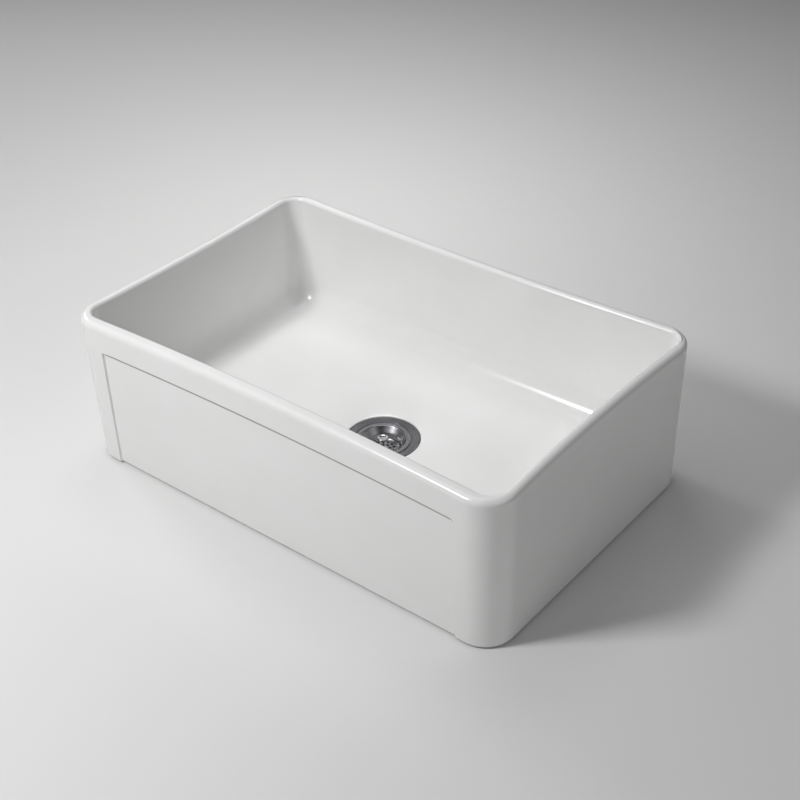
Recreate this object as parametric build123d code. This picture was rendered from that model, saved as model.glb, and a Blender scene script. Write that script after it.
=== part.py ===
from build123d import *
import os

# Farmhouse apron front sink, in millimetres.
# X runs along the apron, -Y is the apron side, +Z is up.
# The origin is the centre of the base, on the surface that the sink stands on.

# --- basin, outside ---
sink_width = 762.0
sink_depth = 490.0
sink_height = 245.0
side_draft = 3.5            # the base is this much smaller than the rim on every side
rim_corner_radius = 47.0    # plan radius of the upright outer corners at the rim
base_corner_radius = 45.5
long_wall_bow = 9.0         # firing draws the middle of the front and back rims inward
short_wall_bow = 6.0
base_round = 2.5

# --- basin, bowl ---
apron_wall = 21.0           # thickness of the apron at the rim
side_wall = 16.0            # thickness of the other three walls at the rim
outer_rim_round = 9.0
inner_rim_share = 0.67      # the rim's inner edge is rounded by this part of the outer rounding
rim_flat = 0.9              # least flat left between those roundings
bowl_draft = 2.5            # the bowl is this much smaller at its floor on every side
bowl_rim_corner = 24.0
bowl_floor_corner = 44.0
cove_radius = 38.0          # sweep from the walls into the floor
floor_fall = 11.3           # how far the floor falls from the cove to the waste
dish_gap = 3.5              # flat strip between the cove and the falling part of the floor

# --- apron panel ---
panel_stile = 64.6          # plain width left at each end of the apron
panel_rail = 44.1           # plain height left under the rim
panel_recess = 3.2
panel_corner = 4.0

# --- underside ---
foot_width = 24.0           # bearing ring round the hollow underside
hollow_corner = 24.0
floor_thickness = 25.0
rib_width = 16.0
rib_position = 150.0        # each rib's distance from the middle
rib_gap = 3.0               # the ribs stop this far above the base
pad_margin = 12.0           # pad under the waste hole reaches this far past the gasket

# --- waste body ---
waste_offset = 3.0          # the waste sits this far behind the middle
hole_gap = 0.4              # between the flange's pocket and the hole in the clay
flange_reach = 11.0         # how far the flange reaches past the hole
sheet = 1.2                 # pressed steel sheet of the waste body
neck_gap = 0.6              # the outlet stops this far above the base
neck_length = 9.4
neck_radius = 23.9          # outside of the outlet thread
neck_wall = 2.4
cup_depth = 29.8            # from the flange's top to the floor of the cup
cup_radius = 40.5           # outside of the cup and its thread
cup_bend = 4.0
shelf_width = 4.1           # shelf round the cup that the basket's rim rests on
shelf_drop = 1.7
flange_sink = 0.7           # the flange lies this much below the lip of the floor
flange_edge_gap = 1.2       # between the flange's edge and the lip
lip_round = 2.0

# --- seals and nut ---
flange_seal_thickness = 1.8
flange_seal_margin = 0.5    # the seal stops this far inside the flange's edge
waste_clay = 14.0           # thickness of the clay that the waste clamps
gasket_reach = 9.0          # how far the gasket reaches past the hole
gasket_thickness = 2.4
slip_ring_thickness = 0.8
slip_ring_margin = 1.0      # the card stops this far inside the gasket's edge
nut_height = 8.0
nut_wall = 9.5              # from the cup's thread to the outside of the nut
lug_reach = 5.0
lug_width = 9.0
lug_count = 8
thread_gap = 0.1
seal_gap = 0.2              # between a soft ring and the cup that it goes round

# --- cross bar ---
bar_width = 6.0
bar_height = 2.4
bar_level = 2.4             # above the bottom of the outlet
bar_ring_radius = 6.6
bar_gap = 0.05

# --- basket ---
basket_gap = 1.4            # between the basket's edge and the flange
rest_gap = 0.3              # between a lift-out piece and its seat
basket_rim_thickness = 1.2
basket_rim_width = 6.5
basket_sheet = 0.9
basket_base_radius = 23.0
basket_bend = 3.0
basket_edge_round = 0.4
drain_hole_radius = 2.2
inner_drain_ring = 10.2     # radius of the inner ring of holes
inner_drain_count = 8
outer_drain_ring = 16.6
outer_drain_count = 14

# --- post, knob and stopper ---
post_radius = 2.0
running_gap = 0.05
bush_radius = 4.4
bush_flange_radius = 6.4
bush_flange_thickness = 0.8
knob_radius = 8.3
knob_thickness = 1.9
knob_rise = 0.7             # from the flange's top to the underside of the knob
knob_dish = 0.8
knob_lip = 1.2
knob_hub_radius = 3.4
knob_hub_height = 1.6
knob_socket = 1.2           # the post enters the knob by this much
seal_radius = 27.0
seal_thickness = 2.5
plate_radius = 22.0
plate_thickness = 0.8
shoulder_radius = 3.0
shoulder_height = 1.0
stopper_lift = 6.0
lift_gap = 0.3
stopper_nut_flats = 8.0
stopper_nut_height = 2.6
clip_radius = 3.2
clip_length = 6.0
clip_gap = 0.2              # between the clip and the hole in the cross bar
clip_slot = 0.8
clip_taper = 0.8            # the clip's nose narrows by this much
clip_nose = 1.2
clip_solid = 1.6            # length of the clip that the slots leave whole
post_end_gap = 0.6          # the post stops this far inside the clip

# --- levels that follow from the sizes above, from the base up ---
neck_end = neck_gap
cup_base = neck_end + neck_length
cup_floor = cup_base + sheet
flange_top = cup_floor + cup_depth
flange_seat = flange_top - sheet - flange_seal_thickness
lip_level = flange_top + flange_sink
floor_level = lip_level + floor_fall
hollow_level = floor_level - floor_thickness
pad_level = flange_seat - waste_clay
gasket_base = pad_level - gasket_thickness
slip_ring_base = gasket_base - slip_ring_thickness
nut_base = slip_ring_base - nut_height
shelf_level = flange_top - shelf_drop
seal_base = cup_floor + rest_gap
plate_base = seal_base + seal_thickness
shoulder_base = plate_base + plate_thickness
shoulder_top = shoulder_base + shoulder_height
basket_base = shoulder_top + stopper_lift + lift_gap
basket_floor = basket_base + basket_sheet
bush_top = basket_floor + bush_flange_thickness
basket_rim_base = shelf_level + rest_gap
basket_rim_top = basket_rim_base + basket_rim_thickness
knob_base = flange_top + knob_rise
knob_top = knob_base + knob_thickness
knob_hub_base = knob_base - knob_hub_height
post_top = knob_hub_base + knob_socket
stopper_nut_base = seal_base - stopper_nut_height
clip_base = stopper_nut_base - clip_length
post_end = clip_base + post_end_gap

# --- sizes across that follow from the sizes above ---
cup_bore = cup_radius - sheet
shelf_radius = cup_bore + shelf_width       # inside of the flange, where the basket drops in
waste_hole_radius = shelf_radius + sheet + hole_gap
flange_radius = waste_hole_radius + flange_reach
lip_radius = flange_radius + flange_edge_gap
gasket_radius = waste_hole_radius + gasket_reach
nut_radius = cup_radius + nut_wall
neck_bore = neck_radius - neck_wall
basket_radius = shelf_radius - basket_gap
basket_rim_inner = basket_radius - basket_rim_width
bowl_width = sink_width - 2 * side_wall    # the bowl at the rim
bowl_depth = sink_depth - apron_wall - side_wall
bowl_shift = (apron_wall - side_wall) / 2   # the thicker apron sets the bowl's middle back by this much
half_bowl_floor = bowl_depth / 2 + bowl_shift - bowl_draft
dish_radius = half_bowl_floor - waste_offset - cove_radius - dish_gap
pad_radius = gasket_radius + pad_margin
bar_hole_radius = clip_radius + clip_gap

past = 5.0                  # how far a cutting shape runs past the face it cuts
waste_axis = Pos(0, waste_offset, 0)


def outline(width, depth, corner, long_bow, short_bow, level):
    """Rounded rectangle whose sides are shallow arcs drawn in by the bows, tangent to its corners."""
    reach = (width / 2 - corner, depth / 2 - corner)
    curves = [2 * bow / (span**2 + bow**2) for bow, span in zip((long_bow, short_bow), reach)]
    long_end = (reach[0] * (1 - corner * curves[0]), reach[1] + corner * (1 - long_bow * curves[0]))
    short_end = (reach[0] + corner * (1 - short_bow * curves[1]), reach[1] * (1 - corner * curves[1]))
    slant = corner / 2**0.5
    with BuildSketch(Plane.XY.offset(level)) as sketch:
        with BuildLine():
            for x, y in ((1, -1), (1, 1), (-1, 1), (-1, -1)):
                ThreePointArc(
                    (x * long_end[0], y * long_end[1]), (x * (reach[0] + slant), y * (reach[1] + slant)),
                    (x * short_end[0], y * short_end[1]),
                )
            for side in (-1, 1):
                ends = [(x * long_end[0], side * long_end[1]) for x in (-1, 1)]
                if long_bow > 0:
                    ThreePointArc(ends[0], (0, side * (depth / 2 - long_bow)), ends[1])
                else:
                    Line(*ends)
                ends = [(side * short_end[0], y * short_end[1]) for y in (-1, 1)]
                if short_bow > 0:
                    ThreePointArc(ends[0], (side * (width / 2 - short_bow), 0), ends[1])
                else:
                    Line(*ends)
        make_face()
    return sketch.sketch.faces()[0]


def turned(corners):
    """Solid of revolution about the waste's axis from (radius, height, rounding) corners."""
    with BuildSketch(Plane.XZ) as sketch:
        with BuildLine():
            Polyline(*[(radius, height) for radius, height, _ in corners], close=True)
        make_face()
        for radius, height, rounding in corners:
            if rounding > 0:
                nearest = sketch.vertices().sort_by_distance(Vector(radius, height))[0]
                fillet(nearest, rounding)
    return waste_axis * revolve(sketch.sketch, Axis.Z, 360)


def ring(inner, outer, base, top):
    """Flat ring about the waste's axis."""
    return turned([(inner, base, 0), (outer, base, 0), (outer, top, 0), (inner, top, 0)])


def level_edges(shape, level):
    """Edges that lie wholly at one height."""
    return shape.edges().filter_by_position(Axis.Z, level - 0.01, level + 0.01)


def edges_along(shape, pattern):
    """The shape's edge at the middle of each edge of the pattern."""
    return [shape.edges().sort_by_distance(edge @ 0.5)[0] for edge in pattern]


def basin_block():
    """Outside of the basin, wider at the rim than at the base."""
    base = outline(
        sink_width - 2 * side_draft, sink_depth - 2 * side_draft, base_corner_radius, 0, 0, 0
    )
    rim = outline(
        sink_width, sink_depth, rim_corner_radius, long_wall_bow, short_wall_bow, sink_height
    )
    return loft([base, rim], ruled=True)


def bowl_space():
    """Space inside the bowl, down to the flat of its floor, with the cove round it."""
    drawn = floor_level / sink_height
    floor = outline(
        bowl_width - 2 * bowl_draft, bowl_depth - 2 * bowl_draft, bowl_floor_corner,
        long_wall_bow * drawn, short_wall_bow * drawn, floor_level,
    )
    rim = outline(bowl_width, bowl_depth, bowl_rim_corner, long_wall_bow, short_wall_bow, sink_height)
    space = loft([floor, rim], ruled=True)
    return Pos(0, bowl_shift, 0) * fillet(level_edges(space, floor_level), cove_radius)


def floor_dish():
    """Falling part of the floor: an arc level with the floor that drops to the waste's lip."""
    run = dish_radius - lip_radius
    arc_radius = (run**2 + floor_fall**2) / (2 * floor_fall)
    halfway = dish_radius - run / 2
    halfway_drop = arc_radius - (arc_radius**2 - (run / 2) ** 2) ** 0.5
    with BuildSketch(Plane.XZ) as sketch:
        with BuildLine():
            Line((0, lip_level), (lip_radius, lip_level))
            ThreePointArc(
                (lip_radius, lip_level), (halfway, floor_level - halfway_drop), (dish_radius, floor_level)
            )
            Polyline((dish_radius, floor_level), (0, floor_level), (0, lip_level))
        make_face()
    return waste_axis * revolve(sketch.sketch, Axis.Z, 360)


def apron_recess(block):
    """Skin of even depth taken off the apron between the stiles, open at the base."""
    height = sink_height - panel_rail
    with BuildSketch(Plane.XZ) as sketch:
        with Locations((0, height / 2 - past / 2)):
            Rectangle(sink_width - 2 * panel_stile, height + past)
        fillet(sketch.vertices().group_by(Axis.Z)[-1], panel_corner)
    window = extrude(sketch.sketch, sink_depth)
    return (block & window) - Pos(0, panel_recess, 0) * block


def hollow_underside():
    """Open space under the floor, with ribs across it and a pad under the waste hole."""
    inset = side_draft + foot_width
    plan = outline(sink_width - 2 * inset, sink_depth - 2 * inset, hollow_corner, 0, 0, -past)
    space = extrude(plan, hollow_level + past)
    rib_height = hollow_level - rib_gap
    for side in (-1, 1):
        rib = Box(rib_width, sink_depth, rib_height, align=(Align.CENTER, Align.CENTER, Align.MIN))
        space -= Pos(side * rib_position, 0, rib_gap) * rib
    return space - ring(0, pad_radius, pad_level, hollow_level + past)


def sink_basin():
    """The one-piece fireclay basin."""
    outside = basin_block()
    bowl = bowl_space()
    block = fillet(level_edges(outside, 0), base_round)
    block -= apron_recess(outside)
    block -= bowl
    block -= floor_dish()
    rounding = min(outer_rim_round, (min(side_wall, apron_wall) - rim_flat) / (1 + inner_rim_share))
    block = fillet(edges_along(block, level_edges(outside, sink_height)), rounding)
    block = fillet(edges_along(block, level_edges(bowl, sink_height)), rounding * inner_rim_share)
    block -= hollow_underside()
    block -= ring(0, lip_radius, flange_seat, floor_level + past)
    block -= ring(0, waste_hole_radius, pad_level - past, flange_seat + past)
    circles = block.edges().filter_by(GeomType.CIRCLE)
    lip = circles.sort_by_distance(Vector(lip_radius, waste_offset, lip_level))[0]
    return fillet(lip, lip_round)


def strainer_body():
    """Pressed steel flange, shelf and cup in one piece, with the threaded outlet below."""
    return turned([
        (flange_radius, flange_top, 0.5), (shelf_radius, flange_top, 0.4), (shelf_radius, shelf_level, 0),
        (cup_bore, shelf_level, 0.4), (cup_bore, cup_floor, cup_bend), (neck_bore, cup_floor, 0.6),
        (neck_bore, neck_end, 0), (neck_radius, neck_end, 0), (neck_radius, cup_base, 0),
        (cup_radius, cup_base, cup_bend + sheet), (cup_radius, shelf_level - sheet, 0),
        (shelf_radius + sheet, shelf_level - sheet, 0.8), (shelf_radius + sheet, flange_top - sheet, 0),
        (flange_radius, flange_top - sheet, 0),
    ])


def flange_seal():
    """Soft ring that beds the flange on the clay."""
    outer = flange_radius - flange_seal_margin
    return ring(waste_hole_radius, outer, flange_seat, flange_top - sheet)


def under_gasket():
    """Rubber ring under the clay."""
    return ring(cup_radius + seal_gap, gasket_radius, gasket_base, pad_level)


def slip_ring():
    """Card ring that lets the nut turn against the gasket."""
    outer = gasket_radius - slip_ring_margin
    return ring(cup_radius + seal_gap, outer, slip_ring_base, gasket_base)


def lock_nut():
    """Clamping nut with lugs for a spanner."""
    nut = ring(cup_radius + thread_gap, nut_radius, nut_base, slip_ring_base)
    bore = ring(0, cup_radius + thread_gap, nut_base - past, slip_ring_base + past)
    reach = nut_radius + lug_reach
    for index in range(lug_count):
        lug = Box(reach, lug_width, nut_height, align=(Align.MIN, Align.CENTER, Align.MIN))
        nut += waste_axis * Rot(0, 0, index * 360 / lug_count) * Pos(0, 0, nut_base) * lug
    return nut - bore


def outlet_crossbar():
    """Bar across the outlet with the ring that the stopper's clip drops into."""
    base = neck_end + bar_level
    inside = ring(0, neck_bore - bar_gap, base, base + bar_height)
    bar = Box(2 * neck_radius, bar_width, bar_height, align=(Align.CENTER, Align.CENTER, Align.MIN))
    bar = (waste_axis * Pos(0, 0, base) * bar) & inside
    bar += ring(0, bar_ring_radius, base, base + bar_height)
    return bar - ring(0, bar_hole_radius, base - past, base + bar_height + past)


def basket_cup():
    """Strainer basket: flat rim, conical wall and a flat floor with two rings of holes."""
    wall_top = basket_rim_inner - basket_sheet
    cup = turned([
        (basket_radius, basket_rim_top, basket_edge_round),
        (basket_rim_inner, basket_rim_top, basket_bend - basket_sheet),
        (basket_base_radius, basket_floor, basket_bend),
        (bush_radius + running_gap, basket_floor, 0), (bush_radius + running_gap, basket_base, 0),
        (basket_base_radius + basket_sheet / 2, basket_base, basket_bend + basket_sheet),
        (wall_top + 2 * basket_sheet, basket_rim_base, basket_bend),
        (basket_radius, basket_rim_base, 0),
    ])
    hole = Cylinder(drain_hole_radius, 2 * past)
    for ring_radius, count in (inner_drain_ring, inner_drain_count), (outer_drain_ring, outer_drain_count):
        for index in range(count):
            cup -= waste_axis * Rot(0, 0, index * 360 / count) * Pos(ring_radius, 0, basket_base) * hole
    return cup


def guide_bush():
    """Plastic bush in the basket's floor that the post slides in."""
    bore = post_radius + running_gap
    return turned([
        (bore, basket_base, 0), (bush_radius, basket_base, 0), (bush_radius, basket_floor, 0),
        (bush_flange_radius, basket_floor, 0), (bush_flange_radius, bush_top, 0.3), (bore, bush_top, 0),
    ])


def lift_post():
    """Round post with the shoulder that the stopper hangs from."""
    return turned([
        (0, post_end, 0), (post_radius, post_end, 0), (post_radius, shoulder_base, 0),
        (shoulder_radius, shoulder_base, 0), (shoulder_radius, shoulder_top, 0.3),
        (post_radius, shoulder_top, 0), (post_radius, post_top, 0), (0, post_top, 0),
    ])


def lift_knob():
    """Thin dished disc on a short hub, closed over the top of the post."""
    dish_level = knob_top - knob_dish
    return turned([
        (0, post_top, 0), (post_radius, post_top, 0), (post_radius, knob_hub_base, 0),
        (knob_hub_radius, knob_hub_base, 0), (knob_hub_radius, knob_base, 0.5),
        (knob_radius, knob_base, 0.8), (knob_radius, knob_top, 0.8),
        (knob_radius - knob_lip, knob_top, 0.4), (knob_radius - knob_lip - knob_dish, dish_level, 0.4),
        (0, dish_level, 0),
    ])


def stopper_plate():
    """Steel washer that backs the seal."""
    bore = post_radius + running_gap
    return turned([
        (bore, plate_base, 0), (plate_radius, plate_base, 0), (plate_radius, shoulder_base, 0.3),
        (bore, shoulder_base, 0),
    ])


def stopper_seal():
    """Rubber disc that closes the outlet."""
    bore = post_radius + running_gap
    return turned([
        (bore, seal_base, 0), (seal_radius, seal_base, 0.6), (seal_radius, plate_base, 0.6),
        (bore, plate_base, 0),
    ])


def stopper_nut():
    """Hexagon nut that holds the seal and its plate on the post."""
    hexagon = RegularPolygon(stopper_nut_flats / 2, 6, major_radius=False)
    blank = waste_axis * Pos(0, 0, stopper_nut_base) * extrude(hexagon, stopper_nut_height)
    return blank - ring(0, post_radius + running_gap, stopper_nut_base - past, seal_base + past)


def post_clip():
    """Split plastic clip on the end of the post, which grips the ring of the cross bar."""
    bore = post_radius + running_gap
    clip = turned([
        (0, clip_base, 0), (clip_radius - clip_taper, clip_base, 0),
        (clip_radius, clip_base + clip_nose, 0.4), (clip_radius, stopper_nut_base, 0),
        (bore, stopper_nut_base, 0), (bore, post_end, 0), (0, post_end, 0),
    ])
    slot_height = clip_length - clip_solid + past
    slot = Box(clip_slot, 4 * clip_radius, slot_height, align=(Align.CENTER, Align.CENTER, Align.MIN))
    for turn in (0, 90):
        clip -= waste_axis * Rot(0, 0, turn) * Pos(0, 0, clip_base - past) * slot
    return clip


pieces = {
    "sink_basin": sink_basin,
    "strainer_body": strainer_body,
    "flange_seal": flange_seal,
    "under_gasket": under_gasket,
    "slip_ring": slip_ring,
    "lock_nut": lock_nut,
    "outlet_crossbar": outlet_crossbar,
    "basket_cup": basket_cup,
    "guide_bush": guide_bush,
    "lift_post": lift_post,
    "lift_knob": lift_knob,
    "stopper_plate": stopper_plate,
    "stopper_seal": stopper_seal,
    "stopper_nut": stopper_nut,
    "post_clip": post_clip,
}

os.makedirs("parts", exist_ok=True)
for name, make in pieces.items():
    export_step(make(), f"parts/{name}.step")
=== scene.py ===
import bmesh
import bpy
import numpy as np
from mathutils import Matrix, Vector


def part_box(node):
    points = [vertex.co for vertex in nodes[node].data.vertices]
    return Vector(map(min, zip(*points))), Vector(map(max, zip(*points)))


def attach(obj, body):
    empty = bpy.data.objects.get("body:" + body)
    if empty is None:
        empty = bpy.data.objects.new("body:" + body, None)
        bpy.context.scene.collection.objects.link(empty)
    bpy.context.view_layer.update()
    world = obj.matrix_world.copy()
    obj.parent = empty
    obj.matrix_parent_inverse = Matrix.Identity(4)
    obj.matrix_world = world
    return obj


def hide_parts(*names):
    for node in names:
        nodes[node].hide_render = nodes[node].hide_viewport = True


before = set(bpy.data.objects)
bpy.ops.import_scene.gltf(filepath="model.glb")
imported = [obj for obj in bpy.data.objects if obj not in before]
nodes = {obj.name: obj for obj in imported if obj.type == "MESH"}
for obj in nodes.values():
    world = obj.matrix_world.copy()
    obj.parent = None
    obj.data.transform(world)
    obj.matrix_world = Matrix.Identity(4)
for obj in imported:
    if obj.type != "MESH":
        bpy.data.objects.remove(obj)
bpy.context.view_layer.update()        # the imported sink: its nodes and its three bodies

mm = 0.001               # the sizes below are in millimetres, Blender's are in metres
print("frame loaded:", len(nodes), "nodes")


def linear(hexColour):
    # sRGB hex to linear: below 0.04045 a straight line, above it a power of 2.4
    s = np.array([int(hexColour[i:i + 2], 16) for i in (1, 3, 5)]) / 255
    c = np.where(s <= 0.04045, s / 12.92, ((s + 0.055) / 1.055) ** 2.4)
    return (*c, 1.0)


def addNode(tree, kind, settings=None, inputs=None):
    # adds one node: settings are its properties; an input is a value, or the socket that feeds it
    node = tree.nodes.new("ShaderNode" + kind)
    for key, value in (settings or {}).items():
        setattr(node, key, value)
    for key, value in (inputs or {}).items():
        if isinstance(value, bpy.types.NodeSocket):
            tree.links.new(value, node.inputs[key])
        else:
            node.inputs[key].default_value = value
    return node


def newMaterial(name):
    # a material whose tree holds one Principled shader, wired to the output
    material = bpy.data.materials.new(name)
    material.use_nodes = True
    tree = material.node_tree
    tree.nodes.clear()
    shader = addNode(tree, "BsdfPrincipled")
    output = addNode(tree, "OutputMaterial")
    tree.links.new(shader.outputs[0], output.inputs[0])
    return material, tree, shader


def gridFaces(rows, columns, closedRows=False):
    # quads between neighbours of a grid; columns always run round, rows do when closedRows is set
    i = np.arange(rows if closedRows else rows - 1)[:, None]
    j = np.arange(columns)
    nextRow, nextColumn = (i + 1) % rows, (j + 1) % columns
    corners = [i * columns + j, i * columns + nextColumn,
               nextRow * columns + nextColumn, nextRow * columns + j]
    return np.stack(np.broadcast_arrays(*corners), axis=-1).reshape(-1, 4)


def makePiece(name, shells, body, material, standsFor=()):
    # one object out of grids of points: shells is a list of (points in mm, faces)
    points, faces, start = [], [], 0
    for shellPoints, shellFaces in shells:
        points.append(shellPoints.reshape(-1, 3) * mm)
        faces += [[start + k for k in face] for face in shellFaces]
        start += len(points[-1])
    mesh = bpy.data.meshes.new(name)
    mesh.from_pydata(np.concatenate(points).tolist(), [], faces)
    mesh.shade_smooth()
    mesh.materials.append(material)
    piece = bpy.data.objects.new(name, mesh)
    bpy.context.scene.collection.objects.link(piece)
    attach(piece, body)
    if standsFor:
        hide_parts(*standsFor)
    return piece


camera = dict(
    yaw=39.525, pitch=34.727, roll=-1.757,       # degrees: round the sink from the apron, down, and tilt
    place=(1154.4, -1353.1, 1344.7),             # mm
    focalPixels=1471.5, framePixels=800, sensor=36.0,
    clip=(0.05, 60.0),                           # m
)


def placeCamera(c):
    # back is the unit vector from the sink to the camera; right and up follow from it and are turned by roll
    yaw, pitch, roll = np.radians([c["yaw"], c["pitch"], c["roll"]])
    back = np.array([np.sin(yaw) * np.cos(pitch), -np.cos(yaw) * np.cos(pitch), np.sin(pitch)])
    right = np.cross(-back, (0, 0, 1))
    right /= np.linalg.norm(right)
    up = np.cross(right, -back)
    rolledRight = np.cos(roll) * right + np.sin(roll) * up
    rolledUp = -np.sin(roll) * right + np.cos(roll) * up
    turn = Matrix(np.stack([rolledRight, rolledUp, back], axis=1).tolist()).to_4x4()
    data = bpy.data.cameras.new("camera")
    data.sensor_width = c["sensor"]
    data.lens = c["focalPixels"] / c["framePixels"] * c["sensor"]
    data.clip_start, data.clip_end = c["clip"]
    seat = bpy.data.objects.new("camera", data)
    seat.matrix_world = Matrix.Translation(Vector(c["place"]) * mm) @ turn
    bpy.context.scene.collection.objects.link(seat)
    bpy.context.scene.camera = seat


placeCamera(camera)
print("camera placed")


glaze = dict(
    colour="#ececec", thinColour="#e8e8e7",      # fired white glaze, a little darker where it is thin
    bareColour="#d9cfbc", gritColour="#b9a98f",  # unglazed clay under the sink
    paintedShadeColour="#7d7d7d",                      # painted shade: grey laid into the glaze along the panel's upper edge and at the foot
    roughness=0.2, bareRoughness=0.85, ior=1.52,
    poolSize=55.0, poolDepth=0.10,               # mm: slow waves of the fired surface
    rippleSize=7.0, rippleDepth=0.008,           # mm: orange peel of the sprayed glaze
    gritSize=1.4, gritDepth=0.12,
)


def glazedFireclay(g):
    # Sprayed glaze fired on fireclay: a glassy white skin with slow waves and a faint orange peel, which
    # soften and bend its reflections. The attribute "bare" is 1 on the unglazed, sandy underside. A second
    # attribute paints shade into the glaze: grey along the edge of the apron's panel and at the foot.
    material, tree, shader = newMaterial("glazed_fireclay")
    place = addNode(tree, "TexCoord").outputs["Object"]
    bare = addNode(tree, "Attribute", {"attribute_name": "bare"}).outputs["Fac"]
    pool, ripple, grit = [
        addNode(tree, "TexNoise", inputs={"Vector": place, "Scale": 1 / (g[size] * mm), "Detail": detail})
        for size, detail in (("poolSize", 1.0), ("rippleSize", 2.0), ("gritSize", 4.0))]
    tone = addNode(tree, "Mix", {"data_type": "RGBA"},
                   {"Factor": pool.outputs["Fac"], 6: linear(g["colour"]), 7: linear(g["thinColour"])})
    # painted shade: grey mixed into the glaze where the panel's rail and the foot would hold shadow
    paintedShade = addNode(tree, "Attribute", {"attribute_name": "paintedShade"}).outputs["Fac"]
    tone = addNode(tree, "Mix", {"data_type": "RGBA"},
                   {"Factor": paintedShade, 6: tone.outputs[2], 7: linear(g["paintedShadeColour"])})
    clay = addNode(tree, "Mix", {"data_type": "RGBA"},
                   {"Factor": grit.outputs["Fac"], 6: linear(g["bareColour"]), 7: linear(g["gritColour"])})
    colour = addNode(tree, "Mix", {"data_type": "RGBA"},
                     {"Factor": bare, 6: tone.outputs[2], 7: clay.outputs[2]})
    rough = addNode(tree, "MapRange",
                    inputs={"Value": bare, "To Min": g["roughness"], "To Max": g["bareRoughness"]})
    waves = addNode(tree, "Bump", inputs={"Height": pool.outputs["Fac"], "Distance": g["poolDepth"] * mm})
    peel = addNode(tree, "Bump", inputs={"Height": ripple.outputs["Fac"], "Distance": g["rippleDepth"] * mm,
                                         "Normal": waves.outputs["Normal"]})
    sand = addNode(tree, "Math", {"operation": "MULTIPLY"}, {0: grit.outputs["Fac"], 1: bare})
    skin = addNode(tree, "Bump", inputs={"Height": sand.outputs[0], "Distance": g["gritDepth"] * mm,
                                         "Normal": peel.outputs["Normal"]})
    tree.links.new(colour.outputs[2], shader.inputs["Base Color"])
    tree.links.new(rough.outputs[0], shader.inputs["Roughness"])
    tree.links.new(skin.outputs["Normal"], shader.inputs["Normal"])
    shader.inputs["IOR"].default_value = g["ior"]
    return material


basin = dict(
    sideDraft=3.5, rimCorner=47.0, baseCorner=45.5, longBow=9.0, shortBow=6.0, baseRound=6.0,
    apronWall=21.0, sideWall=16.0, outerRimRound=9.0, innerRimRound=6.0,
    bowlDraft=2.5, bowlRimCorner=24.0, bowlFloorCorner=44.0,
    cove=38.0, floorLevel=53.0, floorFall=11.3, dishRadius=182.0,
    lipRadius=57.2, lipRound=0.8, seatLevel=38.0, holeRadius=45.0, holeRound=0.8,
    padLevel=24.0, padRadius=66.0, padRound=3.0, ceiling=28.0,
    footWidth=24.0, footRound=1.5, hollowCorner=24.0,
    stile=64.6, rail=44.1, recess=3.2, recessCorner=4.5, recessOutside=1.0, recessInside=0.8,
    # mm: painted shade, its line's width and place inside the panel's edge, its height at the foot
    shadeLineWidth=1.6, shadeLineInside=2.8, footShadeHeight=2.9,
    ribWidth=16.0, ribPlace=150.0, ribGap=3.0, ribRound=3.0, ribSeat=4.0, ribInto=1.0, ribSteps=12,
    wasteBehind=3.0,
    edgeGap=0.6, seatGap=0.4,                    # rows this close to an edge keep the flat beside it flat
    frontSteps=64, backSteps=56, endSteps=44, cornerSteps=15, dishSteps=26, flatSteps=8, underSteps=6,
    # heights over the base rounding and over the panel's edge where the spacing of the wall's rows changes
    baseStops=np.array([0.5, 1.5]), panelStops=np.array([-8.0, -5.0, 3.4, 8.0]),
    wallSteps=(2, 12, 6, 32, 4, 4), ceilingShare=0.996,
)
basinLow, basinHigh = [np.array(corner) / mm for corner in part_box("sink_basin")]
sinkWidth, sinkDepth, sinkHeight = basinHigh - basinLow


def spread(start, end, count):
    # evenly spaced values without the last one, so that runs can be joined
    return np.linspace(start, end, count, endpoint=False)


def sideFractions(steps, edge=None, halfWidth=1.0, reach=6.0, close=34):
    # places along one side from -1 to 1; where edge is given, extra ones stand close together round it
    places = [np.linspace(-1, 1, steps)]
    if edge:
        cluster = np.linspace(edge - reach, edge + reach, close) / halfWidth
        even = places[0]
        places[0] = even[np.abs(np.abs(even) - edge / halfWidth) > reach / halfWidth]
        places += [cluster, -cluster]
    return np.sort(np.concatenate(places))


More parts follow.
